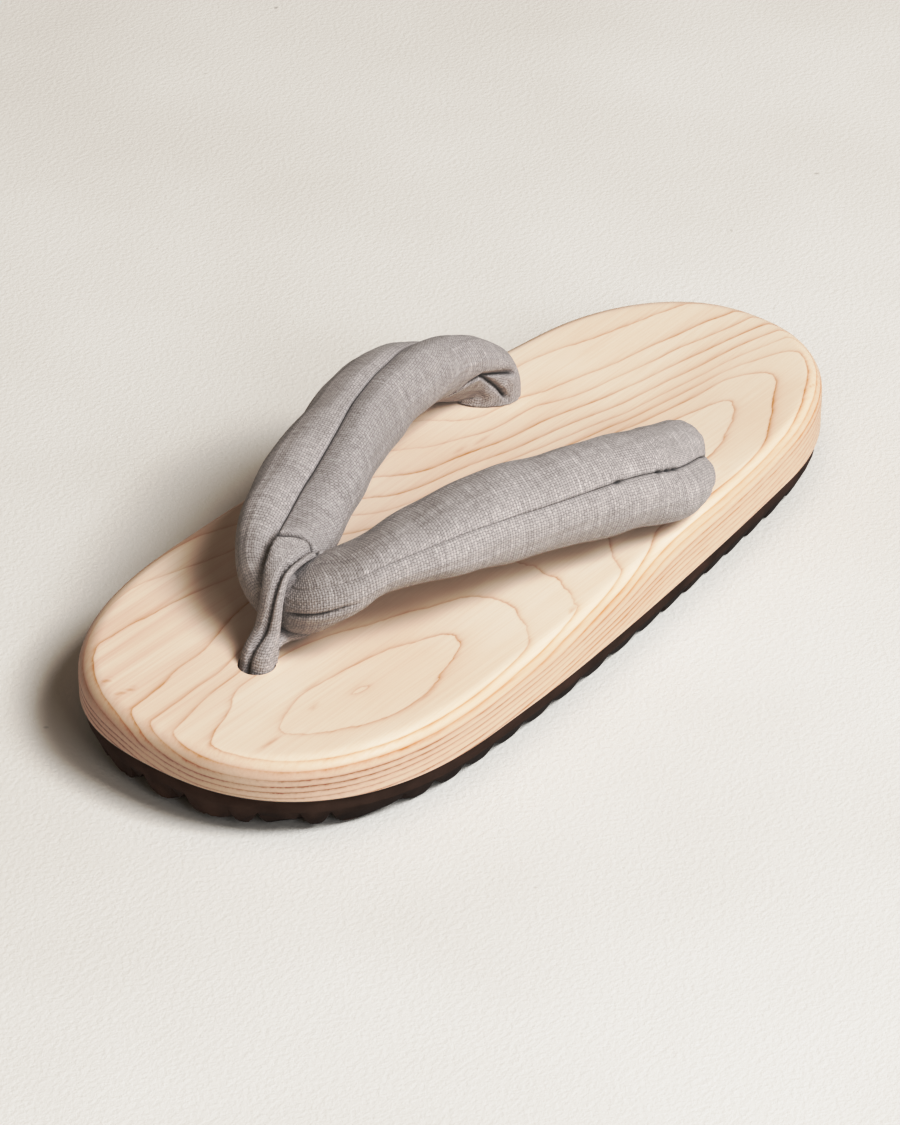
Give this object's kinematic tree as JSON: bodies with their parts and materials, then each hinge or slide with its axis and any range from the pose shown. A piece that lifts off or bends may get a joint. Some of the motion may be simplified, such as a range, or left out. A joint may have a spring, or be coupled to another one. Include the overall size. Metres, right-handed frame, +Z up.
{
  "type": "geta sandal",
  "caption": "Flat wooden thong sandal with a rounded softwood base, rippled rubber outsole, padded linen V strap and cloth toe loop; stands empty on its sole.",
  "frame": {"origin": "on the floor, under the middle of the base's length and width", "axes": "+X from heel to toe, +Y to the wearer's left, +Z up from the floor"},
  "size_m": [0.265, 0.1108, 0.0589],
  "materials": {
    "outsole_rubber": "matte",
    "base_wood": "satin",
    "strap_cloth": "matte",
    "loop_cloth": "matte"
  },
  "bodies": {
    "root": {"rubber_outsole": "outsole_rubber", "wood_base": "base_wood", "strap": "strap_cloth", "toe_loop": "loop_cloth"}
  },
  "joints": []
}
